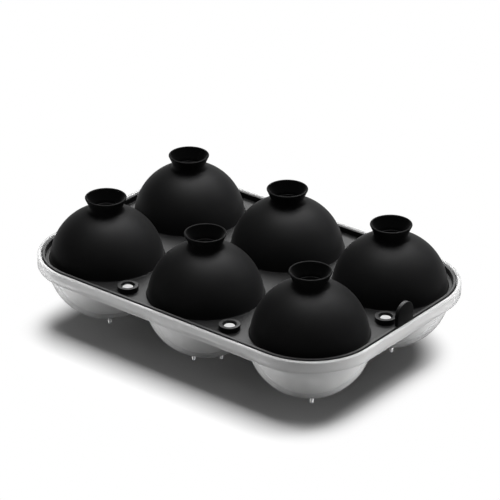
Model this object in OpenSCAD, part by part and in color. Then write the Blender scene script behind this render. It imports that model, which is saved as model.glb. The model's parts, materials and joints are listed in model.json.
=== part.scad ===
// Ice ball mold: a clear tray of round cups, closed by a soft lid of domes with filling funnels.
// Sizes are in millimetres. +Z is up, +X runs along the long side and -Y is the front.
// The origin is the middle of the surface that the feet stand on.

/* [Ice balls] */
// Diameter of the ball that each cell makes
ball_d = 64; // [50:0.5:75]
// Clear gap between the outsides of neighbouring cups
cell_gap = 4.3; // [3:0.1:15]

/* [Tray] */
// Thickness of the cup walls
cup_wall = 3.35; // [1.5:0.05:4]
// Thickness of the deck that joins the cups
tray_deck_t = 2.2; // [1:0.1:4]
// Rounding of the deck's lower outer edge
tray_deck_round = 0.8; // [0.2:0.1:0.9]
// Height of the rim above the deck
rim_h = 4.95; // [2:0.05:10]
// Width of the rim
rim_w = 2.3; // [1.8:0.1:6]
// Rounding of the rim's top edges
rim_round = 0.8; // [0.2:0.1:0.85]

/* [Feet] */
// Diameter of the circle that a cup's feet stand on
foot_circle_d = 22.5; // [12:0.5:36]
// Diameter of a foot's tip
foot_tip_d = 1.7; // [1:0.1:4]
// Draft angle of a foot's side
foot_draft = 8; // [0:0.5:15]
// Height of a cup's lowest point above the surface that the feet stand on
foot_drop = 1.3; // [0.5:0.1:6]

/* [Locking studs] */
// Diameter of a stud
stud_d = 6.5; // [3:0.1:9]
// Height of a stud above the tray's deck
stud_h = 3.75; // [1:0.05:6]
// Distance from the lid's outer edge to a stud's middle
stud_inset = 13.6; // [10:0.1:18]
// Clearance between a stud and its grommet
stud_clearance = 0.7; // [0.1:0.05:1]
// Wall of a grommet
grommet_wall = 2.25; // [1.5:0.05:4]
// Height of a grommet above the lid's deck
grommet_h = 3.2; // [0.8:0.05:5]

/* [Lid] */
// Thickness of the dome walls
dome_wall = 1.5; // [1:0.1:3]
// Thickness of the lid's deck
lid_deck_t = 1.75; // [1:0.05:4]
// Distance from the outside of the domes to the lid's outer edge
lid_margin = 4.7; // [3.5:0.1:15]
// Clearance between the lid's outer edge and the tray's rim
lid_clearance = 0.5; // [0.3:0.05:2]
// Width of the lip round the lid
lip_w = 2; // [1.5:0.1:3]
// Height of the lip above the lid's deck
lip_h = 3.65; // [1:0.05:8]
// Rounding of the lip's top edges
lip_round = 0.5; // [0.1:0.1:0.7]

/* [Filling funnels] */
// Diameter of the fill hole
fill_d = 15; // [5:0.5:16]
// Outer diameter of the neck
neck_d = 19.6; // [17.5:0.1:22]
// Height of the neck's outside, from the dome to the flare
neck_h = 2.5; // [2:0.1:8]
// Height of the flare, from the neck to the mouth's edge
flare_h = 5.9; // [3:0.1:12]
// Outer diameter of the mouth
mouth_d = 24.3; // [22.5:0.1:32]
// Thickness of the neck
funnel_wall = 1.5; // [1:0.1:1.9]
// Thickness of the mouth's round edge
mouth_edge_t = 1.1; // [0.6:0.1:1.6]

/* [Pull tab] */
// Width of the tab
tab_w = 14.8; // [8:0.1:18]
// Thickness of the tab
tab_t = 2.4; // [1.5:0.1:3]
// Height of the tab's tip above the lip
tab_h = 12.4; // [11.5:0.1:25]
// Clearance between the tab's round root and the lip
tab_clearance = 0.3; // [0.1:0.05:0.6]

/* [Hidden] */
$fn = 96;

// Heights below are measured from the parting plane, where the lid's deck lies on the tray's deck.
cavity_r = ball_d / 2;
cup_r = cavity_r + cup_wall;
dome_r = cavity_r + dome_wall;
parting_z = cup_r + foot_drop;

// The cells stand on a grid of three columns and two rows.
pitch = 2 * cup_r + cell_gap;
span_x = 2 * pitch;
span_y = pitch;
CELL_NAMES = ["front_left", "front_middle", "front_right", "rear_left", "rear_middle", "rear_right"];
CELL_AT = [for (row = [-0.5, 0.5]) for (column = [-1, 0, 1]) [column * pitch, row * pitch]];
CELLS = [0 : len(CELL_NAMES) - 1];

// Edges of the lid and the rim, as distances out from the rectangle through the corner cells.
lid_edge = dome_r + lid_margin;
lip_in = lid_edge - lip_w;
rim_in = lid_edge + lid_clearance;
rim_out = rim_in + rim_w;

// Studs stand midway between neighbouring cells, near the edge.
stud_reach = lid_edge - stud_inset;
stud_side_y = span_y / 2 + stud_reach;
stud_end_x = span_x / 2 + stud_reach;
STUD_AT = concat(
    [for (x = [-pitch / 2, pitch / 2]) for (y = [-stud_side_y, stud_side_y]) [x, y]],
    [for (x = [-stud_end_x, stud_end_x]) [x, 0]]
);
stud_hole_d = stud_d + 2 * stud_clearance;
grommet_d = stud_hole_d + 2 * grommet_wall;

// Each funnel stands on the round top of its dome.
neck_r = neck_d / 2;
mouth_r = mouth_d / 2;
funnel_seat_z = sqrt(pow(dome_r, 2) - pow(neck_r, 2));
flare_z = funnel_seat_z + neck_h;
mouth_edge_z = flare_z + flare_h - mouth_edge_t / 2;

lip_top_z = lid_deck_t + lip_h;
tab_x = span_x / 2 + lid_edge - lip_w / 2;
tab_root_z = lip_top_z + tab_clearance + tab_t / 2;
tab_round_r = tab_w / 2;
tab_round_z = lip_top_z + tab_h - tab_round_r;

foot_top_z = -cavity_r * cos(asin(foot_circle_d / 2 / cavity_r));
foot_len = foot_top_z + parting_z;
foot_top_d = foot_tip_d + 2 * foot_len * tan(foot_draft);

// Cuts run past the faces that they open by this much.
past = 1;

TRAY_COLOUR = [0.86, 0.89, 0.9, 0.55];
LID_COLOUR = [0.07, 0.07, 0.075];

function named(piece) = [for (name = CELL_NAMES) str(piece, "_", name)];

// Lifts what is drawn from the parting plane to its height above the feet.
module on_parting_plane() {
    translate([0, 0, parting_z]) children();
}

module at_cell(cell) {
    on_parting_plane() translate(CELL_AT[cell]) children();
}

// Flat outline of the rectangle through the corner cells, grown outwards with round corners.
module grown_outline(grow) {
    square([span_x + 2 * grow, span_y], center = true);
    square([span_x, span_y + 2 * grow], center = true);
    for (x = [-1, 1], y = [-1, 1]) {
        translate([x * span_x / 2, y * span_y / 2]) circle(grow);
    }
}

// Carries a section round the same rectangle: its x is the distance outwards and its y is the height.
module swept_round() {
    for (end = [0, 1]) {
        mirror([end, 0, 0])
            translate([span_x / 2, span_y / 2, 0])
                rotate([90, 0, 0]) linear_extrude(span_y) children();
        mirror([0, end, 0])
            translate([-span_x / 2, span_y / 2, 0])
                rotate([90, 0, 90]) linear_extrude(span_x) children();
    }
    for (end = [0, 1], side = [0, 1]) {
        mirror([end, 0, 0]) mirror([0, side, 0])
            translate([span_x / 2, span_y / 2, 0]) rotate_extrude(angle = 90) children();
    }
}

// Upright wall section with both top edges rounded.
module round_topped_section(inner, outer, bottom, top, round_r) {
    translate([inner, bottom]) square([outer - inner, top - bottom - round_r]);
    translate([inner + round_r, bottom]) square([outer - inner - 2 * round_r, top - bottom]);
    for (x = [inner + round_r, outer - round_r]) {
        translate([x, top - round_r]) circle(round_r);
    }
}

module cell_cavities() {
    for (at = CELL_AT) {
        translate(at) sphere(cavity_r);
    }
}

module tray_deck_edge_section() {
    edge_in = rim_out - tray_deck_round;
    translate([edge_in, tray_deck_round - tray_deck_t])
        square([tray_deck_round, tray_deck_t - tray_deck_round]);
    intersection() {
        translate([edge_in, tray_deck_round - tray_deck_t]) circle(tray_deck_round);
        translate([edge_in, -tray_deck_t]) square(tray_deck_round);
    }
}

module tray_deck() {
    color(TRAY_COLOUR) on_parting_plane() {
        difference() {
            translate([0, 0, -tray_deck_t])
                linear_extrude(tray_deck_t) grown_outline(rim_out - tray_deck_round);
            cell_cavities();
        }
        swept_round() tray_deck_edge_section();
    }
}

module tray_rim() {
    color(TRAY_COLOUR) on_parting_plane()
        swept_round() round_topped_section(rim_in, rim_out, 0, rim_h, rim_round);
}

module cup(cell) {
    color(TRAY_COLOUR) at_cell(cell) difference() {
        sphere(cup_r);
        sphere(cavity_r);
        translate([0, 0, -tray_deck_t]) cylinder(h = cup_r + tray_deck_t + past, r = cup_r + past);
    }
}

// The corner cups stand on the diagonals and the middle cups on the straight lines.
module feet(cell) {
    first_turn = CELL_AT[cell].x == 0 ? 0 : 45;
    color(TRAY_COLOUR) at_cell(cell) difference() {
        for (turn = [first_turn : 90 : first_turn + 270]) {
            rotate([0, 0, turn]) translate([foot_circle_d / 2, 0, -parting_z])
                cylinder(h = foot_len, d1 = foot_tip_d, d2 = foot_top_d);
        }
        sphere(cup_r);
    }
}

module locking_studs() {
    color(TRAY_COLOUR) on_parting_plane() for (at = STUD_AT) {
        translate(at) cylinder(h = stud_h, d = stud_d);
    }
}

module lid_deck() {
    color(LID_COLOUR) on_parting_plane() difference() {
        linear_extrude(lid_deck_t) grown_outline(lid_edge);
        cell_cavities();
        for (at = STUD_AT) {
            translate([at.x, at.y, -past]) cylinder(h = lid_deck_t + 2 * past, d = stud_hole_d);
        }
    }
}

module lid_lip() {
    color(LID_COLOUR) on_parting_plane()
        swept_round() round_topped_section(lip_in, lid_edge, lid_deck_t, lip_top_z, lip_round);
}

module stud_grommets() {
    color(LID_COLOUR) on_parting_plane() for (at = STUD_AT) {
        translate([at.x, at.y, lid_deck_t]) difference() {
            cylinder(h = grommet_h, d = grommet_d);
            translate([0, 0, -past]) cylinder(h = grommet_h + 2 * past, d = stud_hole_d);
        }
    }
}

module dome(cell) {
    color(LID_COLOUR) at_cell(cell) difference() {
        intersection() {
            sphere(dome_r);
            translate([0, 0, lid_deck_t]) cylinder(h = dome_r, r = dome_r + past);
        }
        sphere(cavity_r);
        cylinder(h = dome_r + past, d = fill_d);
    }
}

// The section runs into the dome, which then cuts the funnel's foot to its own shape.
module funnel_section() {
    neck_in_r = neck_r - funnel_wall;
    polygon([
        [neck_in_r, funnel_seat_z - past],
        [neck_r, funnel_seat_z - past],
        [neck_r, flare_z],
        [mouth_r, mouth_edge_z],
        [mouth_r - mouth_edge_t, mouth_edge_z],
        [neck_in_r, flare_z],
    ]);
    translate([mouth_r - mouth_edge_t / 2, mouth_edge_z]) circle(d = mouth_edge_t);
}

module funnel(cell) {
    color(LID_COLOUR) at_cell(cell) difference() {
        rotate_extrude() funnel_section();
        sphere(dome_r);
    }
}

module upper_half_disc(radius) {
    intersection() {
        circle(radius);
        translate([-radius, 0]) square([2 * radius, radius]);
    }
}

// The tab bends about the middle of its round root, which clears the top of the lip.
module pull_tab() {
    color(LID_COLOUR) on_parting_plane() translate([tab_x, 0, 0]) {
        translate([0, 0, tab_root_z])
            rotate([90, 0, 0]) cylinder(h = tab_w, d = tab_t, center = true);
        translate([-tab_t / 2, 0, 0]) rotate([90, 0, 90]) linear_extrude(tab_t) {
            translate([-tab_w / 2, tab_root_z]) square([tab_w, tab_round_z - tab_root_z]);
            translate([0, tab_round_z]) upper_half_disc(tab_round_r);
        }
    }
}

tray_deck();
tray_rim();
locking_studs();
lid_deck();
lid_lip();
stud_grommets();
pull_tab();
for (cell = CELLS) {
    cup(cell);
    feet(cell);
    dome(cell);
    funnel(cell);
}
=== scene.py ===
"""Ice ball mold: a milky clear tray of six cups under a soft black lid of six domes with filling funnels."""

import json
import math

import bmesh
import bpy
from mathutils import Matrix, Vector


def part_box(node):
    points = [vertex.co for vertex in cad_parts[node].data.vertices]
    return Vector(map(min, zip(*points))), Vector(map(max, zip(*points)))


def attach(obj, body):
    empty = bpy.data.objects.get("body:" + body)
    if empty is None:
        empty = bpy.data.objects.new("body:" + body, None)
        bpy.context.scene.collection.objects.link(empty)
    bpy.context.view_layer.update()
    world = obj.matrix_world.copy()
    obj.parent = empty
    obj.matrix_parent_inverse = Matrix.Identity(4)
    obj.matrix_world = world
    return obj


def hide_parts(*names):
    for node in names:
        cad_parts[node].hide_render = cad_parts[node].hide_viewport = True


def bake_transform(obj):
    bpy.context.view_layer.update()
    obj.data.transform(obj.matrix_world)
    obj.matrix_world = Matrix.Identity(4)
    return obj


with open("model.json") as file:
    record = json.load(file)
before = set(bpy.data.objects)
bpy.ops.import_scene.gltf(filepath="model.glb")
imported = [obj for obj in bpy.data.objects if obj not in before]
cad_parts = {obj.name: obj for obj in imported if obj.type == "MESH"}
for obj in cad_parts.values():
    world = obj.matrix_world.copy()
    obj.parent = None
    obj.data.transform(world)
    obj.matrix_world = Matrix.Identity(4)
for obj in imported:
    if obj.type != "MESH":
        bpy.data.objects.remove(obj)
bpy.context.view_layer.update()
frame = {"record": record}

# Sizes are in metres, and heights start from the plane that the feet stand on.
MM = 0.001
CELLS = ["front_left", "front_middle", "front_right", "rear_left", "rear_middle", "rear_right"]
mount_at = {mount["name"]: Vector(mount["pos_m"]) for mount in frame["record"]["mounts"]}
cell_at = {cell: mount_at["fill_hole_" + cell] for cell in CELLS}
half_span = Vector((cell_at["rear_right"].x, cell_at["rear_right"].y))

# The tray and the lid meet in one plane. The decks, rim and lip reach as far out as the CAD nodes do.
PARTING_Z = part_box("tray_deck")[1].z
TRAY_DECK_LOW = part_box("tray_deck")[0].z
RIM_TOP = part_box("tray_rim")[1].z
RIM_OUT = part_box("tray_rim")[1].x - half_span.x
RIM_WIDTH = 2.3 * MM
LID_DECK_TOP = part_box("lid_deck")[1].z
LID_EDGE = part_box("lid_deck")[1].x - half_span.x
LIP_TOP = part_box("lid_lip")[1].z
LIP_WIDTH = 2 * MM
STUD_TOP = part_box("locking_studs")[1].z
GROMMET_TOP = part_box("stud_grommets")[1].z
MOUTH_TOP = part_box("funnel_front_left")[1].z
SEAT_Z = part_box("funnel_front_left")[0].z
TAB_LOW, TAB_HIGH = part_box("pull_tab")

BALL_R = 32 * MM
CUP_R = 35.35 * MM
DOME_R = 33.5 * MM
STUD_R = 3.25 * MM
STUD_HOLE_R = 3.95 * MM
GROMMET_R = 6.2 * MM
FILL_R = 7.5 * MM
NECK_R = 9.8 * MM
NECK_H = 2.5 * MM
FUNNEL_WALL = 1.5 * MM
MOUTH_R = 12.15 * MM
MOUTH_EDGE_T = 1.1 * MM
MOUTH_EDGE_WRAP_DEGREES = 15
PEGS_PER_CUP = 4
FOOT_CIRCLE_R = 11.25 * MM
FOOT_TIP_R = 0.85 * MM
FOOT_DRAFT = math.tan(math.radians(8))

# Roundings that the moulds leave on edges and in corners.
RIM_OUTER_ROUND = 0.9 * MM
RIM_INNER_ROUND = 0.4 * MM
RIM_LOWER_ROUND = 0.8 * MM
RIM_ROOT_FILLET = 0.3 * MM
CUP_FILLET = 1.5 * MM
CUP_MOUTH_ROUND = 0.5 * MM
STUD_ROUND = 0.5 * MM
LIP_ROUND = 0.6 * MM
LIP_FILLET = 0.6 * MM
LID_LOWER_ROUND = 0.4 * MM
DOME_FILLET = 0.8 * MM
GROMMET_ROUND = 0.3 * MM
GROMMET_FILLET = 0.2 * MM
NECK_FILLET = 2.6 * MM
FILL_ROUND = 0.35 * MM
FOOT_ROUND = 0.25 * MM
TAB_ROUND = 0.4 * MM

# How far studs and pegs reach into the skin that they stand on, so that no gap shows.
SEAT_BITE = 0.12 * MM

# How finely round shapes are divided.
TURN_STEPS = 96
SMALL_TURN_STEPS = 40
PEG_TURN_STEPS = 20
BALL_STEPS = 30
ROUND_STEPS = 6
CORNER_STEPS = 24
TAB_ROUND_STEPS = 4
TAB_ROWS = 14
SHARP_ANGLE = math.radians(35)
MERGE_DISTANCE = 0.002 * MM

# Turn in degrees of the point on a ball that lies level with the top of the lid's deck.
DECK_TURN = math.degrees(math.asin((LID_DECK_TOP - PARTING_Z) / BALL_R))

span_mid_x = (cell_at["front_middle"].x + cell_at["front_right"].x) / 2
stud_end_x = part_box("locking_studs")[1].x - STUD_R
stud_side_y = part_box("locking_studs")[1].y - STUD_R
STUDS_AT = [Vector((x, y, 0)) for x in (-span_mid_x, span_mid_x) for y in (-stud_side_y, stud_side_y)]
STUDS_AT += [Vector((x, 0, 0)) for x in (-stud_end_x, stud_end_x)]


# Sections are lists of (distance outwards, height) points.
def arc(centre, radius, first_turn, last_turn, steps=ROUND_STEPS):
    """Points along an arc, from one turn to the other in degrees, with 0 outwards and 90 up."""
    turns = [math.radians(first_turn + (last_turn - first_turn) * step / steps) for step in range(steps + 1)]
    return [(centre[0] + radius * math.cos(turn), centre[1] + radius * math.sin(turn)) for turn in turns]


def ball_arc(radius, first_turn, last_turn, steps=BALL_STEPS):
    """Points along a ball's outline, as seen from the side of its cell."""
    return arc((0, PARTING_Z), radius, first_turn, last_turn, steps)


def rolling_fillet(ball_r, centre_height, fillet_r):
    """Centre of a fillet that rolls round a ball's outside, and the turn in degrees of where it touches."""
    rise = centre_height - PARTING_Z
    reach = math.sqrt((ball_r + fillet_r) ** 2 - rise ** 2)
    return (reach, centre_height), math.degrees(math.atan2(rise, reach))


def ball_turn(radius, distance):
    """Turn in degrees of the point on a ball's upper half that lies at a distance from its axis."""
    return math.degrees(math.acos(distance / radius))


# Mesh tools
def only(kind, geometry):
    """The vertices or the edges alone among mixed geometry."""
    return [item for item in geometry if isinstance(item, kind)]


def add_line(mesh, points, closed=False):
    """Adds a line of edges through points, and returns its vertices and edges."""
    verts = [mesh.verts.new(point) for point in points]
    ends = verts[1:] + verts[:1] if closed else verts[1:]
    return verts + [mesh.edges.new(pair) for pair in zip(verts, ends)]


def spin_section(mesh, section, centre, closed=False, steps=TURN_STEPS):
    """Turns a section a full turn about the upright axis through a centre."""
    line = add_line(mesh, [(centre.x + out, centre.y, height) for out, height in section], closed)
    bmesh.ops.spin(mesh, geom=line, cent=(centre.x, centre.y, 0), axis=(0, 0, 1), angle=math.tau,
                   steps=steps, use_merge=True)


def edges_among(geometry):
    """The edges whose two ends are both among the geometry."""
    verts = only(bmesh.types.BMVert, geometry)
    known = set(verts)
    touching = dict.fromkeys(edge for vert in verts for edge in vert.link_edges)
    return [edge for edge in touching if known.issuperset(edge.verts)]


def sweep_section(mesh, section):
    """Carries a section round the rectangle through the corner cells, with round corners."""
    line = add_line(mesh, [(-half_span.x, -half_span.y - out, height) for out, height in section])
    edges = only(bmesh.types.BMEdge, line)
    for side, corner in enumerate([(1, -1), (1, 1), (-1, 1), (-1, -1)]):
        along = 2 * half_span.x if side % 2 == 0 else 2 * half_span.y
        turn = math.radians(90 * side)
        run = bmesh.ops.extrude_edge_only(mesh, edges=edges)["geom"]
        moved = only(bmesh.types.BMVert, run)
        bmesh.ops.translate(mesh, verts=moved, vec=(along * math.cos(turn), along * math.sin(turn), 0))
        centre = (corner[0] * half_span.x, corner[1] * half_span.y, 0)
        last = bmesh.ops.spin(mesh, geom=moved + edges_among(moved), cent=centre, axis=(0, 0, 1),
                              angle=math.radians(90), steps=CORNER_STEPS)["geom_last"]
        edges = edges_among(last)


def close_flat(mesh, height):
    """Fills the flat between the open edges that lie at one height, and marks its outline as sharp."""
    bmesh.ops.remove_doubles(mesh, verts=mesh.verts, dist=MERGE_DISTANCE)
    rims = [edge for edge in mesh.edges if len(edge.link_faces) == 1
            and all(abs(vert.co.z - height) < MERGE_DISTANCE for vert in edge.verts)]
    bmesh.ops.triangle_fill(mesh, edges=rims, use_beauty=True, normal=(0, 0, 1))
    for edge in rims:
        edge.smooth = False


def add_object(name, data):
    """Puts a new object in the scene."""
    item = bpy.data.objects.new(name, data)
    bpy.context.scene.collection.objects.link(item)
    return item


def add_mesh(name, mesh, material):
    """Turns a finished bmesh into an object with one material."""
    data = bpy.data.meshes.new(name)
    mesh.to_mesh(data)
    mesh.free()
    data.materials.append(material)
    return add_object(name, data)


def make_piece(name, mesh, material, body, replaced):
    """Turns a finished bmesh into a smooth piece that rides on a body, if given, and replaces CAD nodes."""
    bmesh.ops.remove_doubles(mesh, verts=mesh.verts, dist=MERGE_DISTANCE)
    bmesh.ops.recalc_face_normals(mesh, faces=mesh.faces)
    for face in mesh.faces:
        face.smooth = True
    for edge in mesh.edges:
        if len(edge.link_faces) == 2 and edge.calc_face_angle() > SHARP_ANGLE:
            edge.smooth = False
    piece = add_mesh(name, mesh, material)
    if body:
        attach(piece, body)
    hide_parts(*replaced)
    return piece


# Materials
def add_node(tree, kind, settings=None, **values):
    """Adds a shader node, sets its own settings, then its inputs by name."""
    node = tree.nodes.new(kind)
    for name, value in (settings or {}).items():
        setattr(node, name, value)
    for name, value in values.items():
        node.inputs[name.replace("_", " ")].default_value = value
    return node


def empty_tree(owner):
    """The node tree of a material or a world, with no nodes in it."""
    owner.use_nodes = True
    owner.node_tree.nodes.clear()
    return owner.node_tree


def make_grain_group():
    """Fine mould grain and broad clouding that all the plastics share, with scales in cells per metre."""
    group = bpy.data.node_groups.new("moulded surface", "ShaderNodeTree")
    for name in ("Grain Scale", "Cloud Scale"):
        group.interface.new_socket(name, in_out="INPUT", socket_type="NodeSocketFloat")
    for name in ("Grain", "Clouding"):
        group.interface.new_socket(name, in_out="OUTPUT", socket_type="NodeSocketFloat")
    start = group.nodes.new("NodeGroupInput")
    end = group.nodes.new("NodeGroupOutput")
    place = group.nodes.new("ShaderNodeTexCoord")
    for name, scale, detail in (("Grain", "Grain Scale", 2.0), ("Clouding", "Cloud Scale", 3.0)):
        noise = add_node(group, "ShaderNodeTexNoise", Detail=detail, Roughness=0.55)
        group.links.new(place.outputs["Object"], noise.inputs["Vector"])
        group.links.new(start.outputs[scale], noise.inputs["Scale"])
        group.links.new(noise.outputs["Fac"], end.inputs[name])
    return group


def make_moulded_material(name, dark, light, smooth, rough, grain_scale, cloud_scale, grain_depth, **values):
    """A moulded plastic whose colour and roughness drift between two limits, with a fine grain."""
    material = bpy.data.materials.new(name)
    tree = empty_tree(material)
    out = tree.nodes.new("ShaderNodeOutputMaterial")
    shader = add_node(tree, "ShaderNodeBsdfPrincipled", **values)
    surface = add_node(tree, "ShaderNodeGroup", {"node_tree": grain_group})
    surface.inputs["Grain Scale"].default_value = grain_scale
    surface.inputs["Cloud Scale"].default_value = cloud_scale
    colour = add_node(tree, "ShaderNodeMix", {"data_type": "RGBA"})
    colour.inputs["A"].default_value = (*dark, 1)
    colour.inputs["B"].default_value = (*light, 1)
    gloss = add_node(tree, "ShaderNodeMapRange", To_Min=smooth, To_Max=rough)
    bump = add_node(tree, "ShaderNodeBump", Strength=1.0, Distance=grain_depth)
    tree.links.new(surface.outputs["Clouding"], colour.inputs["Factor"])
    tree.links.new(surface.outputs["Clouding"], gloss.inputs["Value"])
    tree.links.new(surface.outputs["Grain"], bump.inputs["Height"])
    tree.links.new(colour.outputs["Result"], shader.inputs["Base Color"])
    tree.links.new(gloss.outputs["Result"], shader.inputs["Roughness"])
    tree.links.new(bump.outputs["Normal"], shader.inputs["Normal"])
    tree.links.new(shader.outputs["BSDF"], out.inputs["Surface"])
    return material


# The see-through plastic and the solid one differ in gloss and in how much light they let through.
MILKY = {
    "dark": (0.87, 0.87, 0.87),
    "light": (0.957, 0.957, 0.957),
    "grain_scale": 900,
    "cloud_scale": 45,
    "grain_depth": 0.004 * MM,
    "IOR": 1.49,
}

grain_group = make_grain_group()
silicone = make_moulded_material(
    "satin black silicone", dark=(0.0048, 0.0048, 0.005), light=(0.006, 0.006, 0.0062),
    smooth=0.49, rough=0.56, grain_scale=2600, cloud_scale=70, grain_depth=0.006 * MM,
    IOR=1.45, Specular_IOR_Level=0.25, Sheen_Weight=0.045, Sheen_Roughness=0.3)
clear_plastic = make_moulded_material(
    "milky clear plastic", smooth=0.14, rough=0.24, Transmission_Weight=0.7, **MILKY)
peg_plastic = make_moulded_material(
    "milky solid plastic", smooth=0.2, rough=0.3, Transmission_Weight=0.25, **MILKY)


# Tray
def tray_rim_section():
    """The rim from its root on the deck, over the top and down to the deck's underside."""
    inside = RIM_OUT - RIM_WIDTH
    section = arc((inside - RIM_ROOT_FILLET, PARTING_Z + RIM_ROOT_FILLET), RIM_ROOT_FILLET, -90, 0)
    section += arc((inside + RIM_INNER_ROUND, RIM_TOP - RIM_INNER_ROUND), RIM_INNER_ROUND, 180, 90)
    section += arc((RIM_OUT - RIM_OUTER_ROUND, RIM_TOP - RIM_OUTER_ROUND), RIM_OUTER_ROUND, 90, 0)
    section += arc((RIM_OUT - RIM_LOWER_ROUND, TRAY_DECK_LOW + RIM_LOWER_ROUND), RIM_LOWER_ROUND, 0, -90)
    return section


def cup_inside_section():
    """The cavity of a cup, from its round mouth edge to its lowest point."""
    centre, touch = rolling_fillet(BALL_R, PARTING_Z - CUP_MOUTH_ROUND, CUP_MOUTH_ROUND)
    return arc(centre, CUP_MOUTH_ROUND, 90, 180 + touch) + ball_arc(BALL_R, touch, -90)[1:]


def cup_outside_section():
    """The outside of a cup, from the fillet under the deck to its lowest point."""
    centre, touch = rolling_fillet(CUP_R, TRAY_DECK_LOW - CUP_FILLET, CUP_FILLET)
    return arc(centre, CUP_FILLET, 90, 180 + touch) + ball_arc(CUP_R, touch, -90)[1:]


def stud_section():
    """A stud from the middle of its root, just under the deck's skin, to the middle of its top."""
    root_z = PARTING_Z - SEAT_BITE
    section = [(0, root_z), (STUD_R, root_z)]
    section += arc((STUD_R - STUD_ROUND, STUD_TOP - STUD_ROUND), STUD_ROUND, 0, 90)
    return section + [(0, STUD_TOP)]


def peg_section(top_z):
    """A tapered peg from the middle of its tip on the floor to the middle of its flat top."""
    section = [(0, 0)]
    section += arc((FOOT_TIP_R - FOOT_ROUND, FOOT_ROUND), FOOT_ROUND, -90, 0)
    return section + [(FOOT_TIP_R + top_z * FOOT_DRAFT, top_z), (0, top_z)]


def make_tray():
    """The clear moulding: deck, rim and cups in one closed skin."""
    mesh = bmesh.new()
    sweep_section(mesh, tray_rim_section())
    for centre in cell_at.values():
        spin_section(mesh, cup_inside_section(), centre)
        spin_section(mesh, cup_outside_section(), centre)
    close_flat(mesh, PARTING_Z)
    close_flat(mesh, TRAY_DECK_LOW)
    cups = ["cup_" + cell for cell in CELLS]
    return make_piece("tray_moulding", mesh, clear_plastic, "tray",
                      ["tray_deck", "tray_rim", *cups])


def make_studs():
    """The six studs that stand on the tray's deck and come up through the lid."""
    mesh = bmesh.new()
    for centre in STUDS_AT:
        spin_section(mesh, stud_section(), centre, steps=SMALL_TURN_STEPS)
    return make_piece("tray_studs", mesh, peg_plastic, "tray", ["locking_studs"])


def make_feet(cell, centre):
    """The pegs under a cup, each seated just inside the cup's outer skin."""
    mesh = bmesh.new()
    top_z = PARTING_Z - math.sqrt(CUP_R ** 2 - FOOT_CIRCLE_R ** 2)
    in_middle_column = abs(centre.x) < MM
    first_turn = 0 if in_middle_column else 45
    for peg in range(PEGS_PER_CUP):
        turn = math.radians(first_turn + 360 / PEGS_PER_CUP * peg)
        foot = centre + Vector((math.cos(turn), math.sin(turn), 0)) * FOOT_CIRCLE_R
        before = set(mesh.verts)
        spin_section(mesh, peg_section(top_z), foot, steps=PEG_TURN_STEPS)
        for vert in set(mesh.verts) - before:
            if abs(vert.co.z - top_z) < MERGE_DISTANCE:
                reach = (vert.co.xy - centre.xy).length
                vert.co.z = PARTING_Z - math.sqrt((CUP_R - SEAT_BITE) ** 2 - reach ** 2)
    return make_piece("foot_pegs_" + cell, mesh, peg_plastic, "tray", ["feet_" + cell])


# Lid
def lid_edge_section():
    """The lid's edge from its underside, up the outside, over the lip and down to the deck."""
    lip_in = LID_EDGE - LIP_WIDTH
    section = arc((LID_EDGE - LID_LOWER_ROUND, PARTING_Z + LID_LOWER_ROUND), LID_LOWER_ROUND, -90, 0)
    section += arc((LID_EDGE - LIP_ROUND, LIP_TOP - LIP_ROUND), LIP_ROUND, 0, 90)
    section += arc((lip_in + LIP_ROUND, LIP_TOP - LIP_ROUND), LIP_ROUND, 90, 180)
    section += arc((lip_in - LIP_FILLET, LID_DECK_TOP + LIP_FILLET), LIP_FILLET, 0, -90)
    return section


def grommet_section():
    """A grommet from the fillet on the deck, over its top and down through the stud hole."""
    section = arc((GROMMET_R + GROMMET_FILLET, LID_DECK_TOP + GROMMET_FILLET), GROMMET_FILLET, 270, 180)
    section += arc((GROMMET_R - GROMMET_ROUND, GROMMET_TOP - GROMMET_ROUND), GROMMET_ROUND, 0, 90)
    section += arc((STUD_HOLE_R + GROMMET_ROUND, GROMMET_TOP - GROMMET_ROUND), GROMMET_ROUND, 90, 180)
    return section + [(STUD_HOLE_R, PARTING_Z)]


def make_lid_sheet():
    """The lid's deck with its lip and grommets, in one closed skin."""
    mesh = bmesh.new()
    sweep_section(mesh, lid_edge_section())
    for centre in cell_at.values():
        spin_section(mesh, ball_arc(BALL_R, 0, DECK_TURN, ROUND_STEPS), centre)
    for centre in STUDS_AT:
        spin_section(mesh, grommet_section(), centre, steps=SMALL_TURN_STEPS)
    close_flat(mesh, PARTING_Z)
    close_flat(mesh, LID_DECK_TOP)
    return make_piece("lid_sheet", mesh, silicone, "lid",
                      ["lid_deck", "lid_lip", "stud_grommets"])


def make_dome(cell, centre):
    """The upper half of a cell, from the fillet on the lid's deck to the round edge of the fill hole."""
    foot, touch = rolling_fillet(DOME_R, LID_DECK_TOP + DOME_FILLET, DOME_FILLET)
    edge_reach = FILL_R + FILL_ROUND
    edge_turn = ball_turn(DOME_R - FILL_ROUND, edge_reach)
    edge_z = PARTING_Z + (DOME_R - FILL_ROUND) * math.sin(math.radians(edge_turn))
    section = arc(foot, DOME_FILLET, 270, 180 + touch)
    section += ball_arc(DOME_R, touch, edge_turn)[1:]
    section += arc((edge_reach, edge_z), FILL_ROUND, edge_turn, 180)[1:]
    section += ball_arc(BALL_R, ball_turn(BALL_R, FILL_R), DECK_TURN)
    mesh = bmesh.new()
    spin_section(mesh, section, centre, closed=True)
    return make_piece("soft_dome_" + cell, mesh, silicone, "lid", ["dome_" + cell])


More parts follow.
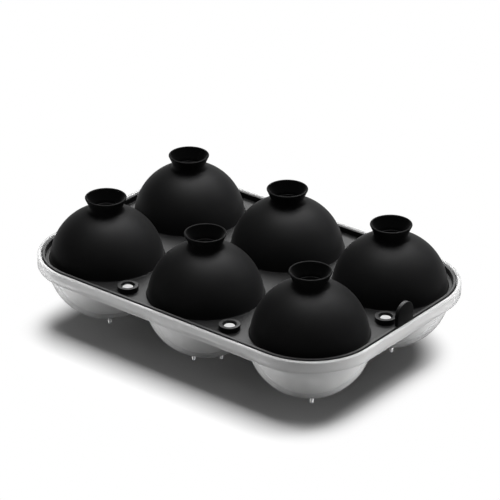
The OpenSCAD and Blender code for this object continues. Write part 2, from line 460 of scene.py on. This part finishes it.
def make_funnel(cell, centre):
    """The filling funnel: a neck that stands on the dome and flares to a round-edged mouth."""
    reach = NECK_R + NECK_FILLET
    rise = math.sqrt((DOME_R + NECK_FILLET) ** 2 - reach ** 2)
    touch = math.degrees(math.atan2(rise, reach))
    flare_z = SEAT_Z + NECK_H
    neck_in = NECK_R - FUNNEL_WALL
    edge_r = MOUTH_EDGE_T / 2
    edge_centre = (MOUTH_R - edge_r, MOUTH_TOP - edge_r)
    section = arc((reach, PARTING_Z + rise), NECK_FILLET, 180 + touch, 180)
    section += [(NECK_R, flare_z)]
    section += arc(edge_centre, edge_r, -MOUTH_EDGE_WRAP_DEGREES, 180 + MOUTH_EDGE_WRAP_DEGREES,
                   2 * ROUND_STEPS)
    section += [(neck_in, flare_z)]
    section += ball_arc(DOME_R, ball_turn(DOME_R, neck_in), touch, ROUND_STEPS)[:-1]
    mesh = bmesh.new()
    spin_section(mesh, section, centre, closed=True)
    make_piece("fill_funnel_" + cell, mesh, silicone, "lid", ["funnel_" + cell])


def make_pull_tab():
    """The round-ended tab, from inside the lip to its tip, with soft edges and rows to bend along."""
    half_w = (TAB_HIGH.y - TAB_LOW.y) / 2
    middle = (TAB_LOW.x + TAB_HIGH.x) / 2
    thick = TAB_HIGH.x - TAB_LOW.x
    root_z = LIP_TOP - LIP_WIDTH
    round_z = TAB_HIGH.z - half_w
    outline = [(-half_w, root_z)] + arc((0, round_z), half_w, 180, 0, TURN_STEPS // 2) + [(half_w, root_z)]
    mesh = bmesh.new()
    line = add_line(mesh, [(middle - thick / 2, across, height) for across, height in outline], closed=True)
    face = mesh.faces.new(only(bmesh.types.BMVert, line))
    grown = bmesh.ops.extrude_face_region(mesh, geom=[face])["geom"]
    bmesh.ops.translate(mesh, verts=only(bmesh.types.BMVert, grown), vec=(thick, 0, 0))
    bmesh.ops.recalc_face_normals(mesh, faces=mesh.faces)
    outline_edges = [edge for edge in mesh.edges if edge.calc_face_angle() > SHARP_ANGLE]
    bmesh.ops.bevel(mesh, geom=outline_edges, offset=TAB_ROUND, segments=TAB_ROUND_STEPS, profile=0.5,
                    affect="EDGES", material=-1)
    for row in range(1, TAB_ROWS):
        height = root_z + (round_z - root_z) * row / TAB_ROWS
        everything = list(mesh.verts) + list(mesh.edges) + list(mesh.faces)
        bmesh.ops.bisect_plane(mesh, geom=everything, plane_co=(0, 0, height), plane_no=(0, 0, 1))
    tab = make_piece("soft_pull_tab", mesh, silicone, None, ["pull_tab"])
    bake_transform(tab)
    return tab


tray_pieces = [make_tray(), make_studs()]
deck_pieces = [make_lid_sheet(), make_pull_tab()]
dome_pieces = []
for cell_name, cell_centre in cell_at.items():
    tray_pieces.append(make_feet(cell_name, cell_centre))
    dome_pieces.append(make_dome(cell_name, cell_centre))
    make_funnel(cell_name, cell_centre)

# The tray throws no light back on the floor, so the shadow under it stays deep.
for tray_piece in tray_pieces:
    tray_piece.visible_diffuse = False


# Stage, light and camera

# Lamps are placed by the photograph's view: away from its camera, to its right, and up.
AWAY = Vector((-0.627, 0.779, 0))
RIGHT = Vector((0.779, 0.627, 0))
UP = Vector((0, 0, 1))
WHITE = (1, 1, 1, 1)

# The floor lies a hair below the feet, and looks darker to light that bounces than to the camera.
FLOOR_REACH = 4
FLOOR_DROP = 0.1 * MM
FLOOR_COLOUR = (0.95, 0.95, 0.95, 1)
FLOOR_BOUNCE_COLOUR = (0.55, 0.55, 0.55, 1)

# The floor shows its shadow in a round-cornered field: its middle, half the size of its square-cornered core,
# and how far outside the core the shadow starts to fade and has gone.
SHADOW_CENTRE = (0.006, -0.022, 0)
SHADOW_CORE = (0.062, 0.04, 0)
SHADOW_FADE_START = 0.03
SHADOW_FADE_END = 0.057

# Only what lies behind the object is mirrored in it: the floor by its place, the backdrop by its direction.
MIRRORED_FLOOR = {"low": -0.1, "high": 0.2, "most": 0.4}
MIRRORED_BACKDROP = {"low": 0.55, "high": 0.95, "most": 0.45}

# Strength of the world's own light on plain surfaces, and in reflections of what isn't behind.
AMBIENT = 0.16
AMBIENT_IN_GLOSS = 0.01

SENSOR_WIDTH_MM = 36


def combined(tree, operation, first, second):
    """Two values joined by a Math node, kept between 0 and 1."""
    node = add_node(tree, "ShaderNodeMath", {"operation": operation, "use_clamp": True})
    tree.links.new(first, node.inputs[0])
    tree.links.new(second, node.inputs[1])
    return node.outputs["Value"]


def seen_and_mirrored(tree):
    """Masks of the rays that see the backdrop, straight or through the plastic, and that mirror it."""
    path = tree.nodes.new("ShaderNodeLightPath").outputs
    seen = combined(tree, "MAXIMUM", path["Is Camera Ray"], path["Is Transmission Ray"])
    mirrored = combined(tree, "SUBTRACT", path["Is Glossy Ray"], path["Is Transmission Ray"])
    return seen, mirrored


def soft_step(tree, value, low, high, most=1.0):
    """A smooth rise from 0 where a value is low to the most where it is high."""
    ramp = add_node(tree, "ShaderNodeMapRange", {"interpolation_type": "SMOOTHSTEP"},
                    From_Min=low, From_Max=high, To_Max=most)
    tree.links.new(value, ramp.inputs["Value"])
    return ramp.outputs["Result"]


def reach_along(tree, vector, direction):
    """How far a vector reaches along a direction."""
    reach = add_node(tree, "ShaderNodeVectorMath", {"operation": "DOT_PRODUCT"})
    reach.inputs[1].default_value = direction
    tree.links.new(vector, reach.inputs[0])
    return reach.outputs["Value"]


def distance_from_core(tree, place):
    """How far a place on the floor lies outside the core of the shadow's field."""
    moves = [
        ("SUBTRACT", SHADOW_CENTRE),
        ("ABSOLUTE", None),
        ("SUBTRACT", SHADOW_CORE),
        ("MAXIMUM", (0, 0, 0)),
    ]
    vector = place
    for operation, value in moves:
        step = add_node(tree, "ShaderNodeVectorMath", {"operation": operation})
        tree.links.new(vector, step.inputs[0])
        if value:
            step.inputs[1].default_value = value
        vector = step.outputs["Vector"]
    distance = add_node(tree, "ShaderNodeVectorMath", {"operation": "LENGTH"})
    tree.links.new(vector, distance.inputs[0])
    return distance.outputs["Value"]


def make_floor_material():
    """White that keeps the object's shadow, is plain white farther out, and is mirrored only behind."""
    material = bpy.data.materials.new("white floor")
    tree = empty_tree(material)
    out = tree.nodes.new("ShaderNodeOutputMaterial")
    place = tree.nodes.new("ShaderNodeTexCoord").outputs["Object"]
    lit = add_node(tree, "ShaderNodeBsdfDiffuse")
    shade = add_node(tree, "ShaderNodeMix", {"data_type": "RGBA"})
    shade.inputs["A"].default_value = FLOOR_COLOUR
    shade.inputs["B"].default_value = FLOOR_BOUNCE_COLOUR
    tree.links.new(tree.nodes.new("ShaderNodeLightPath").outputs["Is Diffuse Ray"], shade.inputs["Factor"])
    tree.links.new(shade.outputs["Result"], lit.inputs["Color"])
    plain = add_node(tree, "ShaderNodeEmission", Color=WHITE)
    seen, mirrored = seen_and_mirrored(tree)
    behind = soft_step(tree, reach_along(tree, place, AWAY), **MIRRORED_FLOOR)
    tree.links.new(combined(tree, "MAXIMUM", seen, behind), plain.inputs["Strength"])
    shown = combined(tree, "MAXIMUM", seen, mirrored)
    far = soft_step(tree, distance_from_core(tree, place), SHADOW_FADE_START, SHADOW_FADE_END)
    mix = tree.nodes.new("ShaderNodeMixShader")
    tree.links.new(combined(tree, "MULTIPLY", shown, far), mix.inputs["Fac"])
    tree.links.new(lit.outputs["BSDF"], mix.inputs[1])
    tree.links.new(plain.outputs["Emission"], mix.inputs[2])
    tree.links.new(mix.outputs["Shader"], out.inputs["Surface"])
    return material


def make_floor():
    """The plain floor that the object stands on."""
    mesh = bmesh.new()
    bmesh.ops.create_grid(mesh, x_segments=1, y_segments=1, size=FLOOR_REACH)
    bmesh.ops.translate(mesh, verts=mesh.verts, vec=(0, 0, -FLOOR_DROP))
    add_mesh("floor", mesh, make_floor_material())


def make_softbox(name, place, width, height, power, gives_sheen=False, only_on=None):
    """A soft lamp aimed at the object, for plain light or sheen alone, and on a few pieces alone if asked."""
    light = bpy.data.lights.new(name, "AREA")
    light.shape = "RECTANGLE"
    light.size = width
    light.size_y = height
    light.energy = power
    lamp = add_object(name, light)
    lamp.location = place
    lamp.rotation_euler = (Vector((0, 0, PARTING_Z)) - Vector(place)).to_track_quat("-Z", "Y").to_euler()
    lamp.visible_camera = False
    lamp.visible_diffuse = not gives_sheen
    lamp.visible_glossy = gives_sheen
    lamp.visible_transmission = False
    if only_on:
        lamp.light_linking.receiver_collection = bpy.data.collections.new("lit by the " + name)
        for piece in only_on:
            lamp.light_linking.receiver_collection.objects.link(piece)


def make_world():
    """A white backdrop, with only a little light of its own."""
    world = bpy.data.worlds.new("studio")
    tree = empty_tree(world)
    out = tree.nodes.new("ShaderNodeOutputWorld")
    direction = tree.nodes.new("ShaderNodeTexCoord").outputs["Generated"]
    dim = add_node(tree, "ShaderNodeBackground", Color=WHITE)
    ambient = add_node(tree, "ShaderNodeMapRange", To_Min=AMBIENT_IN_GLOSS, To_Max=AMBIENT)
    tree.links.new(tree.nodes.new("ShaderNodeLightPath").outputs["Is Diffuse Ray"], ambient.inputs["Value"])
    tree.links.new(ambient.outputs["Result"], dim.inputs["Strength"])
    white = add_node(tree, "ShaderNodeBackground", Color=WHITE, Strength=1.0)
    seen, mirrored = seen_and_mirrored(tree)
    behind = soft_step(tree, reach_along(tree, direction, AWAY), **MIRRORED_BACKDROP)
    shown = combined(tree, "MAXIMUM", seen, combined(tree, "MULTIPLY", mirrored, behind))
    mix = tree.nodes.new("ShaderNodeMixShader")
    tree.links.new(shown, mix.inputs["Fac"])
    tree.links.new(dim.outputs["Background"], mix.inputs[1])
    tree.links.new(white.outputs["Background"], mix.inputs[2])
    tree.links.new(mix.outputs["Shader"], out.inputs["Surface"])
    bpy.context.scene.world = world


def make_camera(azimuth, elevation, distance, target, lens):
    """The photograph's camera. Azimuth 0 looks along +Y, and angles are in degrees."""
    turn = math.radians(azimuth)
    tilt = math.radians(elevation)
    back = Vector((math.sin(turn) * math.cos(tilt), -math.cos(turn) * math.cos(tilt), math.sin(tilt)))
    camera = add_object("camera", bpy.data.cameras.new("camera"))
    camera.data.lens = lens
    camera.data.sensor_width = SENSOR_WIDTH_MM
    camera.location = Vector(target) + back * distance
    camera.rotation_euler = (-back).to_track_quat("-Z", "Y").to_euler()
    bpy.context.scene.camera = camera


make_floor()
make_softbox("overhead softbox", place=(0, 0.2, 2.4), width=1.5, height=1.5, power=64)
make_softbox("right strip", place=RIGHT + UP * 0.07, width=0.8, height=0.12, power=18,
             only_on=tray_pieces)
make_softbox("left strip", place=AWAY * 0.4 - RIGHT * 0.92 + UP * 0.07, width=0.8, height=0.12, power=24,
             only_on=tray_pieces)
make_softbox("right fill", place=AWAY * 0.45 + RIGHT * 1.05 + UP * 0.75, width=0.6, height=0.6, power=28,
             only_on=dome_pieces + deck_pieces)
make_softbox("high sheen panel", place=AWAY * 0.42 - RIGHT * 0.05 + UP * 1.95, width=1.0, height=1.0,
             power=21, gives_sheen=True)
make_softbox("right sheen panel", place=AWAY * 0.8 + RIGHT * 0.72 + UP * 1.68, width=0.9, height=0.9,
             power=15, gives_sheen=True)
make_softbox("rear sheen panel", place=AWAY * 1.45 - RIGHT * 0.2 + UP * 1.38, width=2.4, height=0.8,
             power=77, gives_sheen=True, only_on=deck_pieces)
make_softbox("low sheen panel", place=AWAY * 1.79 + UP * 0.94, width=1.2, height=0.5, power=6,
             gives_sheen=True, only_on=tray_pieces)
make_world()
make_camera(azimuth=38.83, elevation=26.664, distance=1.6261, target=(-0.01703, 0.02385, PARTING_Z),
            lens=198.43)
bpy.context.scene.view_settings.view_transform = "Standard"
